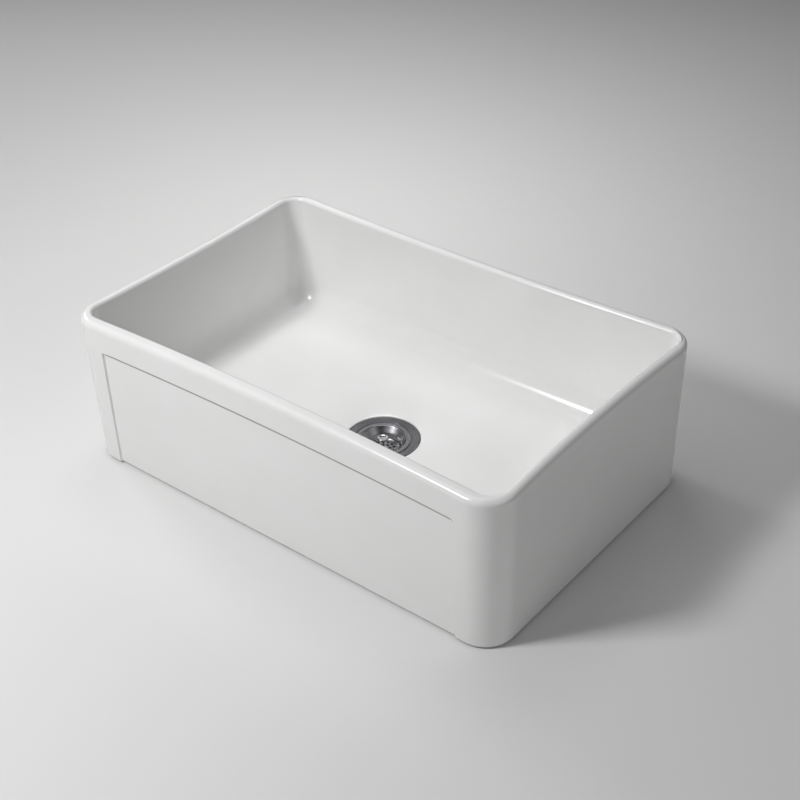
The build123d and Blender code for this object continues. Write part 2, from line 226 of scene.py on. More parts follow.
def outlineRows(rows, sides, cornerSteps):
    # Each row is a rounded rectangle at one height, drawn in at the middle of its sides. A side is an arc
    # that sags by curvature * x^2 / (1 + sqrt(1 - curvature^2 x^2)) from its middle, tangent to the corner
    # circles.
    columns = [column[:, None] for column in np.transpose(rows)]
    halfWidth, halfDepth, corner, longBow, shortBow, level = columns
    reach = (halfWidth - corner, halfDepth - corner)
    curve = [2 * bow / (span**2 + bow**2) for bow, span in zip((longBow, shortBow), reach)]
    lean = [(1 - bow * k, span * k) for bow, k, span in zip((longBow, shortBow), curve, reach)]
    ends = [span * (1 - corner * k) for span, k in zip(reach, curve)]

    def side(which, fractions, half, bow):
        along = fractions * ends[which]
        bend = curve[which] / (1 - curve[which] * corner)
        return along, half - bow + bend * along**2 / (1 + np.sqrt(1 - bend**2 * along**2))

    # a corner runs from the end of a short side to the end of a long side, seen from its own centre
    shortAngle = np.arctan2(-lean[1][1], lean[1][0])
    longAngle = np.pi / 2 + np.arctan2(lean[0][1], lean[0][0])
    turnBy = np.linspace(0, 1, cornerSteps + 2)[1:-1]
    angle = shortAngle + (longAngle - shortAngle) * turnBy
    cornerX, cornerY = reach[0] + corner * np.cos(angle), reach[1] + corner * np.sin(angle)
    frontX, frontY = side(0, sides["front"], halfDepth, longBow)
    backX, backY = side(0, sides["back"], halfDepth, longBow)
    endY, endX = side(1, sides["end"], halfWidth, shortBow)
    x = [frontX, cornerX[:, ::-1], endX, cornerX, -backX, -cornerX[:, ::-1], -endX, -cornerX]
    y = [-frontY, -cornerY[:, ::-1], endY, cornerY, backY, cornerY[:, ::-1], -endY, -cornerY]
    x, y = np.concatenate(x, axis=1), np.concatenate(y, axis=1)
    return np.stack([x, y, np.broadcast_to(level, x.shape)], axis=-1)


def arcSteps(count, lead=0.03):
    # quarter-turn angles with one extra step close to each end, which keeps the shading of the flats flat
    return np.concatenate([[0, lead], np.linspace(0, 1, count)[1:-1], [1 - lead, 1]]) * np.pi / 2


def outerRows(b):
    # foot, base rounding, leaning outer wall and the outside of the rim, from the inside of the foot outwards
    halfWidth, halfDepth = sinkWidth / 2, sinkDepth / 2
    # the rows of the wall stand close together round the upper edge of the panel
    wallTop = sinkHeight - b["outerRimRound"] - b["edgeGap"]
    stops = [*(b["baseRound"] + b["baseStops"]), *(sinkHeight - b["rail"] + b["panelStops"]), wallTop]
    wall = np.concatenate([*map(spread, stops[:-1], stops[1:], b["wallSteps"]), [wallTop]])

    def at(level, inset):
        up = level / sinkHeight
        lean = b["sideDraft"] * (1 - up) + inset
        corner = b["baseCorner"] + (b["rimCorner"] - b["baseCorner"]) * up - inset
        return np.stack([halfWidth - lean, halfDepth - lean, corner, b["longBow"] * up, b["shortBow"] * up,
                         level], axis=-1)

    footArc, baseArc, rimArc = arcSteps(4), arcSteps(6), arcSteps(12)
    footIn = b["footWidth"] - b["footRound"] * (1 - np.cos(footArc))
    foot = at(b["footRound"] * (1 - np.sin(footArc)), footIn)
    foot[:, 2] = b["hollowCorner"] + b["footRound"] * (1 - np.cos(footArc))
    foot[:, 3:5] = 0
    base = at(b["baseRound"] * (1 - np.cos(baseArc)), b["baseRound"] * (1 - np.sin(baseArc)))
    rimRound = b["outerRimRound"]
    rim = at(sinkHeight - rimRound * (1 - np.sin(rimArc)), rimRound * (1 - np.cos(rimArc)))
    return foot, base, at(wall, np.zeros_like(wall)), rim


def innerRows(b):
    # inside of the rim, bowl wall and cove, down to the flat of the floor
    halfWidth = sinkWidth / 2 - b["sideWall"]
    halfDepth = (sinkDepth - b["apronWall"] - b["sideWall"]) / 2

    def at(level, extra):
        up = (level - b["floorLevel"]) / (sinkHeight - b["floorLevel"])
        inset = b["bowlDraft"] * (1 - up) + extra
        corner = b["bowlFloorCorner"] + (b["bowlRimCorner"] - b["bowlFloorCorner"]) * up - extra
        bow = level / sinkHeight
        return np.stack([halfWidth - inset, halfDepth - inset, corner, b["longBow"] * bow,
                         b["shortBow"] * bow, level], axis=-1)

    rimArc, rimRound = arcSteps(12), b["innerRimRound"]
    rim = at(sinkHeight - rimRound * (1 - np.cos(rimArc)), -rimRound * (1 - np.sin(rimArc)))
    wall = np.linspace(sinkHeight - rimRound - 1, b["floorLevel"] + b["cove"] + 1, 14)
    coveArc = arcSteps(22)
    cove = at(b["floorLevel"] + b["cove"] * (1 - np.sin(coveArc)), b["cove"] * (1 - np.cos(coveArc)))
    return rim, at(wall, np.zeros_like(wall)), cove


def roundRows(loop, radii, levels, b):
    # circles round the waste, with each point in the direction of the same point of a given loop
    direction = loop[:, :2] - (0, b["wasteBehind"])
    direction = direction / np.linalg.norm(direction, axis=1)[:, None]
    flat = direction * np.reshape(radii, (-1, 1, 1)) + (0, b["wasteBehind"])
    tall = np.broadcast_to(np.reshape(levels, (-1, 1, 1)), flat.shape[:2] + (1,))
    return np.concatenate([flat, tall], axis=-1)


def between(rowA, rowB, shares):
    # rows on the straight lines from one loop to another
    return rowA + (rowB - rowA) * np.reshape(shares, (-1, 1, 1))


def panelEdge(points, b):
    # signed distance from the outline of the apron's panel, a rectangle with rounded upper corners, and how
    # far the nearest edge is the top one: 1 above the panel, 0 beside it
    x, z = points[..., 0], points[..., 2]
    corner = b["recessCorner"]
    overX = np.abs(x) - (sinkWidth / 2 - b["stile"] - corner)
    overZ = z - (sinkHeight - b["rail"] - corner)
    outside = np.hypot(np.maximum(overX, 0), np.maximum(overZ, 0)) + np.minimum(np.maximum(overX, overZ), 0)
    return corner - outside, np.clip(0.5 + (overZ - overX) / (2 * corner), 0, 1)


def cutRecess(points, b):
    # the panel is sunk by a smooth step s * s * (3 - 2 s) of the distance inside its outline
    inside, y = panelEdge(points, b)[0], points[..., 1]
    step = np.clip((inside + b["recessOutside"]) / (b["recessOutside"] + b["recessInside"]), 0, 1)
    depth = b["recess"] * step * step * (3 - 2 * step)
    points[..., 1] = np.where(y < 0, y + depth, y)
    return points


def paintedShadeField(points, b):
    # painted shade: exp(-(d / width)^2) from a line just inside the panel's upper edge, where the rail's
    # shadow falls, and from the floor at the foot, where the sink meets the floor
    inside, top = panelEdge(points, b)
    edge = np.exp(-((inside - b["shadeLineInside"]) / b["shadeLineWidth"])**2) * top
    foot = np.exp(-(points[..., 2] / b["footShadeHeight"])**2)
    return np.maximum(np.where(points[..., 1] < 0, edge, 0), foot)


def ribShell(place, b):
    # a bar across the underside: its section is straight sides that flare into the ceiling and round below,
    # carried from the front wall to the back one
    arc = arcSteps(5)
    half, low, high = b["ribWidth"] / 2, b["ribGap"], b["ceiling"]
    turned = b["ribRound"] * (1 - np.sin(arc))
    edge = np.stack([half - b["ribRound"] * (1 - np.cos(arc)), low + turned], axis=-1)
    flare = np.stack([half + b["ribSeat"] * (1 - np.cos(arc)),
                      high - b["ribSeat"] * (1 - np.sin(arc))], axis=-1)
    top = np.array([[half + b["ribSeat"], high + b["ribInto"]]])
    right = np.concatenate([top, flare, edge])
    section = np.concatenate([right, right[::-1] * (-1, 1)])
    reach = sinkDepth / 2 - b["sideDraft"] - b["footWidth"] + b["ribInto"]
    along = np.linspace(-reach, reach, b["ribSteps"])
    points = np.empty((len(along), len(section), 3))
    points[..., 0] = place + section[:, 0]
    points[..., 1] = along[:, None]
    points[..., 2] = section[:, 1]
    columns = len(section)
    last = (len(along) - 1) * columns
    ends = [list(range(columns))[::-1], list(range(last, last + columns))]
    return points, gridFaces(len(along), columns).tolist() + ends


def buildBasin(b):
    halfWidth = sinkWidth / 2 - b["rimCorner"]
    sides = dict(
        front=sideFractions(b["frontSteps"], sinkWidth / 2 - b["stile"], halfWidth),
        back=sideFractions(b["backSteps"]), end=sideFractions(b["endSteps"]),
    )
    loops = lambda rows: outlineRows(rows, sides, b["cornerSteps"])
    foot, base, wall, rim = outerRows(b)
    outside = cutRecess(loops(np.concatenate([base, wall, rim])), b)
    insideRim, bowlWall, cove = innerRows(b)
    bowl = loops(np.concatenate([insideRim, bowlWall, cove]))
    bowl[..., 1] += (b["apronWall"] - b["sideWall"]) / 2

    edge = bowl[-1]
    lipLevel = b["floorLevel"] - b["floorFall"]
    run = b["dishRadius"] - b["lipRadius"]
    dishArc = (run**2 + b["floorFall"]**2) / (2 * b["floorFall"])
    radii = np.linspace(b["dishRadius"], b["lipRadius"] + b["lipRound"] + b["edgeGap"], b["dishSteps"])
    fall = dishArc - np.sqrt(dishArc**2 - (b["dishRadius"] - radii)**2)
    dish = roundRows(edge, radii, b["floorLevel"] - fall, b)
    flat = between(edge, dish[0], np.linspace(0, 1, b["flatSteps"])[1:-1])
    lip, seat = arcSteps(6), arcSteps(3)
    hollow = loops(np.concatenate([foot[:1], foot]))
    hollow[0, :, 2] = b["ceiling"] - b["footRound"]
    lipRows = roundRows(edge, b["lipRadius"] + b["lipRound"] * (1 - np.sin(lip)),
                        lipLevel - b["lipRound"] * (1 - np.cos(lip)), b)
    gap, holeLip = b["seatGap"], b["holeRadius"] + b["holeRound"]
    seatRows = roundRows(edge, [b["lipRadius"], b["lipRadius"] - gap, holeLip + gap],
                         [b["seatLevel"] + gap, b["seatLevel"], b["seatLevel"]], b)
    holeTop = roundRows(edge, b["holeRadius"] + b["holeRound"] * (1 - np.sin(seat)),
                        b["seatLevel"] - b["holeRound"] * (1 - np.cos(seat)), b)
    holeBase = roundRows(edge, b["holeRadius"] + b["holeRound"] * (1 - np.cos(seat)),
                         b["padLevel"] + b["holeRound"] * (1 - np.sin(seat)), b)
    padEdge = roundRows(edge, b["padRadius"] - b["padRound"] * (1 - np.sin(seat)),
                        b["padLevel"] + b["padRound"] * (1 - np.cos(seat)), b)
    padRoot = roundRows(edge, [b["padRadius"] + b["edgeGap"]], [b["ceiling"]], b)
    ceilingEdge = hollow[:1].copy()
    ceilingEdge[..., 2] = b["ceiling"]
    ceilingEdge = between(padRoot[0], ceilingEdge[0], [b["ceilingShare"]])
    under = between(padRoot[0], ceilingEdge[0], np.linspace(0, 1, b["underSteps"])[1:-1])
    rows = [hollow, outside, bowl, flat, dish, lipRows, seatRows, holeTop, holeBase, padEdge, padRoot, under,
            ceilingEdge]
    points = np.concatenate(rows)
    # glazed from the foot's outer edge to the lip of the waste hole, bare below
    bare = np.ones(points.shape[:2])
    bare[len(hollow) + 1:sum(len(r) for r in rows[:6])] = 0
    # painted shade on the outer wall: a grey line inside the panel's upper edge and a grey band at the foot
    paintedShade = np.zeros(points.shape[:2])
    paintedShade[len(hollow):len(hollow) + len(outside)] = paintedShadeField(outside, b)
    shells = [(points, gridFaces(*points.shape[:2], closedRows=True).tolist())]
    shells += [ribShell(side * b["ribPlace"], b) for side in (-1, 1)]
    piece = makePiece("basin_fireclay", shells, "basin", glazedFireclay(glaze), ["sink_basin"])
    for name, values, rest in (("bare", bare, 1), ("paintedShade", paintedShade, 0)):
        field = piece.data.attributes.new(name, "FLOAT", "POINT")
        whole = np.full(len(piece.data.vertices), float(rest))
        whole[:values.size] = values.ravel()
        field.data.foreach_set("value", whole)
    return piece


basinPiece = buildBasin(basin)
print("basin built:", len(basinPiece.data.polygons), "faces")


def turnedSection(corners, rounds, steps=7, lead=0.03):
    # straight runs in (radius, height) whose corners are rounded: each corner gives way to an arc that starts
    # radius * tan(turn / 2) before it, and whose points turn about the centre beside the start
    spots = np.array(corners, float)
    runs = np.roll(spots, -1, axis=0) - spots
    runs /= np.linalg.norm(runs, axis=1)[:, None]
    share = np.concatenate([[0, lead], np.linspace(0, 1, steps)[1:-1], [1 - lead, 1]])
    section = []
    for spot, rounding, way, onward in zip(spots, rounds, np.roll(runs, 1, axis=0), runs):
        if rounding == 0:
            section.append([spot])
            continue
        turn = np.arctan2(way[0] * onward[1] - way[1] * onward[0], way @ onward)
        start = spot - way * rounding * np.tan(abs(turn) / 2)
        aside = np.sign(turn) * np.array([-way[1], way[0]]) * rounding
        cos, sin = np.cos(turn * share), np.sin(turn * share)
        arm = np.stack([-aside[0] * cos + aside[1] * sin, -aside[0] * sin - aside[1] * cos], axis=1)
        section.append(start + aside + arm)
    return np.concatenate(section)


def turnedShell(section, around, closed=True):
    # each point (r, h) of the section is carried round the waste's axis: x = r cos a, y = r sin a, z = h
    angle = np.arange(around) * 2 * np.pi / around
    points = np.empty((len(section), around, 3))
    points[..., 0] = section[:, :1] * np.cos(angle)
    points[..., 1] = section[:, :1] * np.sin(angle) + basin["wasteBehind"]
    points[..., 2] = section[:, 1:]
    return points, gridFaces(len(section), around, closed).tolist()


def poleShell(section, around):
    # a turned shape whose section starts and ends on the axis: both ends close in a fan on one point
    points, faces = turnedShell(section[1:-1], around, closed=False)
    ends = section[[0, -1]]
    poles = np.stack([ends[:, 0], ends[:, 0] + basin["wasteBehind"], ends[:, 1]], axis=1)
    count = len(section[1:-1]) * around
    lastRow = count - around
    j = np.arange(around)
    onward = (j + 1) % around
    first = np.stack([np.full(around, count), onward, j], axis=1)
    last = np.stack([np.full(around, count + 1), lastRow + j, lastRow + onward], axis=1)
    return np.concatenate([points.reshape(-1, 3), poles]), faces + first.tolist() + last.tolist()


def weld(piece, nearer=0.002):
    # neighbouring shells share their outlines: points closer than this many mm become one
    form = bmesh.new()
    form.from_mesh(piece.data)
    bmesh.ops.remove_doubles(form, verts=form.verts, dist=nearer * mm)
    form.to_mesh(piece.data)
    form.free()
    return piece


def turnMap(piece):
    # UV map "turn" whose U runs round the waste's axis, so that brushed steel knows the way of its scratches
    mesh = piece.data
    places = np.empty(len(mesh.vertices) * 3)
    mesh.vertices.foreach_get("co", places)
    x, y, z = (places.reshape(-1, 3) / mm - (0, basin["wasteBehind"], 0)).T
    owner, starts = np.empty(len(mesh.loops), int), np.empty(len(mesh.polygons), int)
    mesh.loops.foreach_get("vertex_index", owner)
    mesh.polygons.foreach_get("loop_start", starts)
    share = (np.arctan2(y, x)[owner] / (2 * np.pi)) % 1.0
    sizes = np.diff(np.append(starts, len(owner)))
    across = np.repeat(np.maximum.reduceat(share, starts) - np.minimum.reduceat(share, starts) > 0.5, sizes)
    share = np.where(across & (share < 0.5), share + 1, share)
    climb = (np.hypot(x, y) + z)[owner] / 100
    layer = mesh.uv_layers.new(name="turn")
    layer.data.foreach_set("uv", np.stack([share, climb], axis=1).ravel())
    return piece


steel = dict(
    flange=dict(name="brushed_stainless_flange", colour="#838386", darkColour="#626266", groove=0.35,
                depth=0.006, low=0.22, high=0.36, anisotropy=0.7),
    basket=dict(name="drawn_stainless_basket", colour="#9a9a9d", darkColour="#77777b", groove=0.6,
                depth=0.004, low=0.20, high=0.32, anisotropy=0.4),
    knob=dict(name="turned_stainless_knob", colour="#c4c4c5", darkColour="#aaaaac", groove=0.25,
              depth=0.003, low=0.12, high=0.22, anisotropy=0.5),
    fixing=dict(name="turned_stainless_fixing", colour="#b4b4b6", darkColour="#97979a", groove=0.3,
                depth=0.003, low=0.2, high=0.34, anisotropy=0.0),
)


def turnedSteel(s):
    # Stainless steel marked by turning, spinning or brushing round the waste's axis: fine rings that vary in
    # tone and gloss, and a highlight that fans out from the middle where a tangent is set.
    material, tree, shader = newMaterial(s["name"])
    place = addNode(tree, "TexCoord").outputs["Object"]
    centred = addNode(tree, "VectorMath", {"operation": "SUBTRACT"},
                      {0: place, 1: (0, basin["wasteBehind"] * mm, 0)})
    flat = addNode(tree, "VectorMath", {"operation": "MULTIPLY"}, {0: centred.outputs[0], 1: (1, 1, 0)})
    radius = addNode(tree, "VectorMath", {"operation": "LENGTH"}, {0: flat.outputs[0]})
    way = addNode(tree, "SeparateXYZ", inputs={0: addNode(
        tree, "VectorMath", {"operation": "NORMALIZE"}, {0: flat.outputs[0]}).outputs[0]})
    height = addNode(tree, "SeparateXYZ", inputs={0: place})
    across = [addNode(tree, "Math", {"operation": "DIVIDE"}, {0: socket, 1: s["groove"] * mm}).outputs[0]
              for socket in (radius.outputs["Value"], height.outputs[2])]
    rings = addNode(tree, "CombineXYZ", inputs={0: across[0], 1: across[1], 2: way.outputs[0]})
    marks = addNode(tree, "TexNoise", {"noise_dimensions": "4D"},
                    {"Vector": rings.outputs[0], "W": way.outputs[1], "Scale": 1.0, "Detail": 2.5})
    tone = addNode(tree, "Mix", {"data_type": "RGBA"},
                   {"Factor": marks.outputs["Fac"], 6: linear(s["darkColour"]), 7: linear(s["colour"])})
    gloss = addNode(tree, "MapRange", inputs={"Value": marks.outputs["Fac"], "From Min": 0.3, "From Max": 0.7,
                                              "To Min": s["low"], "To Max": s["high"]})
    relief = addNode(tree, "Bump", inputs={"Height": marks.outputs["Fac"], "Distance": s["depth"] * mm})
    tree.links.new(tone.outputs[2], shader.inputs["Base Color"])
    tree.links.new(gloss.outputs[0], shader.inputs["Roughness"])
    tree.links.new(relief.outputs["Normal"], shader.inputs["Normal"])
    shader.inputs["Metallic"].default_value = 1.0
    if s["anisotropy"]:
        shader.inputs["Anisotropic"].default_value = s["anisotropy"]
        tangent = addNode(tree, "Tangent", {"direction_type": "UV_MAP", "uv_map": "turn"})
        tree.links.new(tangent.outputs[0], shader.inputs["Tangent"])
    return material


flangeSteel, basketSteel, knobSteel, fixingSteel = [turnedSteel(steel[k]) for k in
                                                    ("flange", "basket", "knob", "fixing")]


body = dict(
    around=192, flangeRadius=56.0, flangeTop=41.0, flangeFall=0.6, flangeEdge=1.6, edgeDrop=0.2, sheet=1.2,
    shelfRadius=43.4, shelfLevel=39.3, cupBore=39.3, cupFloor=11.2,
    neckBore=21.5, neckRadius=23.9, neckEnd=0.6,
    # roundings corner by corner, from the flange's edge down the inside and up the outside
    rounds=(0.35, 0.8, 0.45, 0.3, 0.5, 4.0, 0.6, 0.3, 0.5, 0.3, 5.2, 0.3, 0.8, 0.25, 0.3),
    threadPitch=2.31, threadDepth=1.1, threadStart=1.3, threadEnd=8.6, threadFade=0.8, threadRows=48,
)


def buildBody(b):
    under, shelfBase, cupBase = [b[level] - b["sheet"] for level in ("flangeTop", "shelfLevel", "cupFloor")]
    cupRadius, pocket = b["cupBore"] + b["sheet"], b["shelfRadius"] + b["sheet"]
    section = turnedSection([
        (b["flangeRadius"], b["flangeTop"] - b["edgeDrop"]),
        (b["flangeRadius"] - b["flangeEdge"], b["flangeTop"]),
        (b["shelfRadius"], b["flangeTop"] - b["flangeFall"]), (b["shelfRadius"], b["shelfLevel"]),
        (b["cupBore"], b["shelfLevel"]), (b["cupBore"], b["cupFloor"]), (b["neckBore"], b["cupFloor"]),
        (b["neckBore"], b["neckEnd"]), (b["neckRadius"], b["neckEnd"]), (b["neckRadius"], cupBase),
        (cupRadius, cupBase), (cupRadius, shelfBase), (pocket, shelfBase), (pocket, under),
        (b["flangeRadius"], under),
    ], b["rounds"])
    # rows for the outlet's thread go in between the two ends of its outer wall
    wall = np.abs(section[:, 0] - b["neckRadius"]) < 1e-6
    last = np.flatnonzero(wall & (section[:, 1] < b["threadStart"]))[-1] + 1
    rows = np.linspace(b["threadStart"], b["threadEnd"], b["threadRows"])
    section = np.insert(section, last, np.stack([np.full_like(rows, b["neckRadius"]), rows], axis=1), axis=0)
    points, faces = turnedShell(section, b["around"])
    # a helical V groove: its depth follows the distance from the nearest turn, and fades at both ends
    angle = np.arange(b["around"]) / b["around"]
    turn = (rows[:, None] / b["threadPitch"] - angle) % 1.0
    fade = np.clip(np.minimum(rows - b["threadStart"], b["threadEnd"] - rows) / b["threadFade"], 0, 1)
    cut = 1 - b["threadDepth"] / b["neckRadius"] * fade[:, None] * (1 - np.abs(2 * turn - 1))
    thread = points[last:last + len(rows)]
    thread[..., 0] *= cut
    thread[..., 1] = (thread[..., 1] - basin["wasteBehind"]) * cut + basin["wasteBehind"]
    piece = makePiece("strainer_body_steel", [(points, faces)], "basin", flangeSteel,
                      ["strainer_body"])
    return turnMap(piece)


buildBody(body)


basket = dict(
    around=224, rimRadius=42.0, rimTop=40.8, rimThickness=1.2, rimFall=0.1, stepRadius=37.3, stepDrop=0.5,
    stepRun=0.3, wallTop=35.2, wallFall=0.15, kneeRadius=28.0, kneeLevel=31.6, wallOutside=36.4, sheet=0.9,
    floor=23.0, floorRadius=23.0, bushBore=4.45, innerFrom=7.0, shared=13.4, outerTo=19.8,
    # roundings corner by corner, from under the floor up the outside and down the inside
    rounds=(0, 3.9, 3.0, 0.35, 0.5, 0.25, 0.25, 2.1, 8.0, 3.0, 0), hubRounds=(0, 0.2, 0.2, 0),
    innerRing=10.2, innerCount=8, outerRing=16.6, outerCount=14, holeRadius=2.2, holeRound=0.2, sideSteps=8,
    nearHole=0.6,                                # share of the way to the hole where a row flattens its rim
)


def holedRing(b, ring, count, low, high):
    # One cell of the ring is a sector with a round hole. Every point of the sector's outline has a partner
    # on the hole in the same direction from the hole's centre; rows run from the outline on top, over the
    # hole's rounded lips, to the outline below. All cells are turned copies.
    perCell = b["around"] // count
    half = np.pi / count
    sweep = np.linspace(-half, half, perCell + 1)
    climb = np.linspace(low, high, b["sideSteps"] + 1)[1:-1]
    radii = np.concatenate([np.full_like(sweep, high), climb[::-1], np.full_like(sweep, low), climb])
    angles = np.concatenate([sweep, np.full_like(climb, half), sweep[::-1], np.full_like(climb, -half)])
    outline = np.stack([radii * np.cos(angles), radii * np.sin(angles)], axis=1)
    fromHole = outline - (ring, 0)
    direction = fromHole / np.linalg.norm(fromHole, axis=1)[:, None]
    arc = arcSteps(4)
    lip, base, top = b["holeRound"], b["floor"] - b["sheet"], b["floor"]
    edge = b["holeRadius"] + lip * (1 - np.sin(arc))
    drop = lip * (1 - np.cos(arc))
    reach = np.concatenate([edge, edge[::-1]])
    levels = np.concatenate([top - drop, (base + drop)[::-1]])
    rims = (ring, 0) + direction * reach[:, None, None]
    nearTop = between(outline, rims[0], [0, b["nearHole"]])
    nearBase = between(outline, rims[-1], [b["nearHole"], 0])
    flat = np.concatenate([nearTop, rims, nearBase])
    levels = np.concatenate([[top, top], levels, [base, base]])
    turns = (np.arange(count) * 2 * np.pi / count)[:, None, None]
    cells = np.empty((count, *flat.shape[:2], 3))
    cells[..., 0] = flat[..., 0] * np.cos(turns) - flat[..., 1] * np.sin(turns)
    cells[..., 1] = flat[..., 0] * np.sin(turns) + flat[..., 1] * np.cos(turns) + basin["wasteBehind"]
    cells[..., 2] = levels[:, None]
    faces = gridFaces(*flat.shape[:2]).tolist()
    return [(cell, faces) for cell in cells]


def buildBasket(b):
    floor, top, around = b["floor"], b["rimTop"], b["around"]
    base, rimBase, step = floor - b["sheet"], top - b["rimThickness"], top - b["stepDrop"]
    wall = turnedSection([
        (b["outerTo"], base), (b["floorRadius"] + b["sheet"] / 2, base), (b["wallOutside"], rimBase),
        (b["rimRadius"], rimBase), (b["rimRadius"], top), (b["stepRadius"], top - b["rimFall"]),
        (b["stepRadius"] - b["stepRun"], step), (b["wallTop"], step - b["wallFall"]),
        (b["kneeRadius"], b["kneeLevel"]), (b["floorRadius"], floor), (b["outerTo"], floor),
    ], b["rounds"])
    hub = turnedSection([(b["innerFrom"], floor), (b["bushBore"], floor), (b["bushBore"], base),
                         (b["innerFrom"], base)], b["hubRounds"])
    shells = [turnedShell(wall, around, closed=False), turnedShell(hub, around, closed=False)]
    shells += holedRing(b, b["innerRing"], b["innerCount"], b["innerFrom"], b["shared"])
    shells += holedRing(b, b["outerRing"], b["outerCount"], b["shared"], b["outerTo"])
    piece = makePiece("strainer_basket_steel", shells, "basket", basketSteel,
                      ["basket_cup"])
    return turnMap(weld(piece))


buildBasket(basket)


knob = dict(
    around=96, radius=8.3, base=41.7, thickness=1.9, rimWidth=1.5, dishRun=0.3, dishStep=0.6, dishDepth=1.4,
    hubRadius=3.4, hubBase=40.1, bore=2.05, postTop=41.35, dishSteps=14,
    rounds=(0, 0.15, 0.2, 0.35, 0.6, 0.85, 0.75, 0.7, 0.2),           # from the post's top round to the dish
)


def buildKnob(k):
    # a rolled rim round a dish, whose floor is a shallow bowl: it sinks by dishDepth * (1 - (r / dish)^2)
    base, hub, top = k["base"], k["hubRadius"], k["base"] + k["thickness"]
    dish = k["radius"] - k["rimWidth"] - k["dishRun"]
    share = np.linspace(1, 0, k["dishSteps"])[1:]
    bowl = [(dish * s, top - k["dishStep"] - (k["dishDepth"] - k["dishStep"]) * (1 - s * s)) for s in share]
    section = turnedSection([
        (0, k["postTop"]), (k["bore"], k["postTop"]), (k["bore"], k["hubBase"]), (hub, k["hubBase"]),
        (hub, base), (k["radius"], base), (k["radius"], top), (k["radius"] - k["rimWidth"], top),
        (dish, top - k["dishStep"]), *bowl,
    ], [*k["rounds"], *np.zeros(len(bowl))])
    piece = makePiece("lift_knob_steel", [poleShell(section, k["around"])], "stopper",
                      knobSteel, ["lift_knob"])
    return turnMap(piece)


buildKnob(knob)
print("waste built")


plastics = dict(
    nut=dict(name="moulded_black_nylon", colour="#26262a", otherColour="#1f1f22", grain=0.9, depth=0.02,
             roughness=0.48, roughSpan=0.12, ior=1.53, subsurface=0.0),
    clip=dict(name="moulded_black_acetal", colour="#222225", otherColour="#1c1c1f", grain=0.5, depth=0.004,
              roughness=0.32, roughSpan=0.08, ior=1.48, subsurface=0.0),
    bush=dict(name="turned_white_acetal", colour="#e4e2dc", otherColour="#d9d7cf", grain=0.5, depth=0.004,
              roughness=0.34, roughSpan=0.08, ior=1.48, subsurface=0.15),
    gasket=dict(name="moulded_black_rubber", colour="#1b1b1c", otherColour="#2a2a2b", grain=0.7, depth=0.03,
                roughness=0.68, roughSpan=0.16, ior=1.52, subsurface=0.0),
    seal=dict(name="soft_grey_rubber", colour="#c9c8c3", otherColour="#b9b8b2", grain=0.9, depth=0.02,
              roughness=0.6, roughSpan=0.14, ior=1.5, subsurface=0.0),
    card=dict(name="pressed_fibre_card", colour="#9a7b54", otherColour="#7c6040", grain=1.6, depth=0.05,
              roughness=0.88, roughSpan=0.1, ior=1.46, subsurface=0.0),
)


patchSize = 14.0         # mm: patches of the second tone on every moulded skin


def mouldedSkin(p):
    # A moulded or pressed skin: two near tones in soft patches, a fine grain in the relief and an uneven
    # gloss, finest on acetal, sandy on nylon and rubber, and fibrous on card.
    material, tree, shader = newMaterial(p["name"])
    place = addNode(tree, "TexCoord").outputs["Object"]
    grain, patches = [
        addNode(tree, "TexNoise", inputs={"Vector": place, "Scale": 1 / (size * mm), "Detail": detail})
        for size, detail in ((p["grain"], 3.0), (patchSize, 2.0))]
    tone = addNode(tree, "Mix", {"data_type": "RGBA"},
                   {"Factor": patches.outputs["Fac"], 6: linear(p["colour"]), 7: linear(p["otherColour"])})
    gloss = addNode(tree, "MapRange", inputs={
        "Value": grain.outputs["Fac"], "From Min": 0.3, "From Max": 0.7,
        "To Min": p["roughness"] - p["roughSpan"] / 2, "To Max": p["roughness"] + p["roughSpan"] / 2})
    relief = addNode(tree, "Bump", inputs={"Height": grain.outputs["Fac"], "Distance": p["depth"] * mm})
    tree.links.new(tone.outputs[2], shader.inputs["Base Color"])
    tree.links.new(gloss.outputs[0], shader.inputs["Roughness"])
    tree.links.new(relief.outputs["Normal"], shader.inputs["Normal"])
    shader.inputs["IOR"].default_value = p["ior"]
    shader.inputs["Subsurface Weight"].default_value = p["subsurface"]
    shader.inputs["Subsurface Scale"].default_value = 1 * mm
    return material


skins = {key: mouldedSkin(value) for key, value in plastics.items()}

nut = dict(around=384, bore=40.6, base=12.8, height=8.0, radius=50.0, lugReach=5.0, lugWidth=9.0, lugCount=8,
           lugRound=0.9, growRun=2.0, chamfer=1.2, rounds=(0.3, 0.8, 0.8, 0.3, 0.3, 0.3))


def buildNut(n):
    # a turned ring whose outside swells by lugReach within each lug: the swell rises over lugRound on both
    # flanks and grows from nothing at growRun inside the ring's edge to its full reach at the edge
    base, top, bore, chamfer = n["base"], n["base"] + n["height"], n["bore"], n["chamfer"]
    section = turnedSection([
        (bore + chamfer, base), (n["radius"], base), (n["radius"], top), (bore + chamfer, top),
        (bore, top - chamfer), (bore, base + chamfer),
    ], n["rounds"])
    points, faces = turnedShell(section, n["around"])
    angle = np.arange(n["around"]) * 2 * np.pi / n["around"]
    pitch = 2 * np.pi / n["lugCount"]
    aside = np.abs((angle + pitch / 2) % pitch - pitch / 2) * (n["radius"] + n["lugReach"])
    rise = np.clip((n["lugWidth"] / 2 + n["lugRound"] / 2 - aside) / n["lugRound"], 0, 1)
    rise = rise * rise * (3 - 2 * rise)
    share = np.clip((section[:, :1] - n["radius"]) / n["growRun"] + 1, 0, 1)
    grow = 1 + n["lugReach"] * rise * share / section[:, :1]
    points[..., 0] *= grow
    points[..., 1] = (points[..., 1] - basin["wasteBehind"]) * grow + basin["wasteBehind"]
    return makePiece("lock_nut_nylon", [(points, faces)], "basin", skins["nut"], ["lock_nut"])


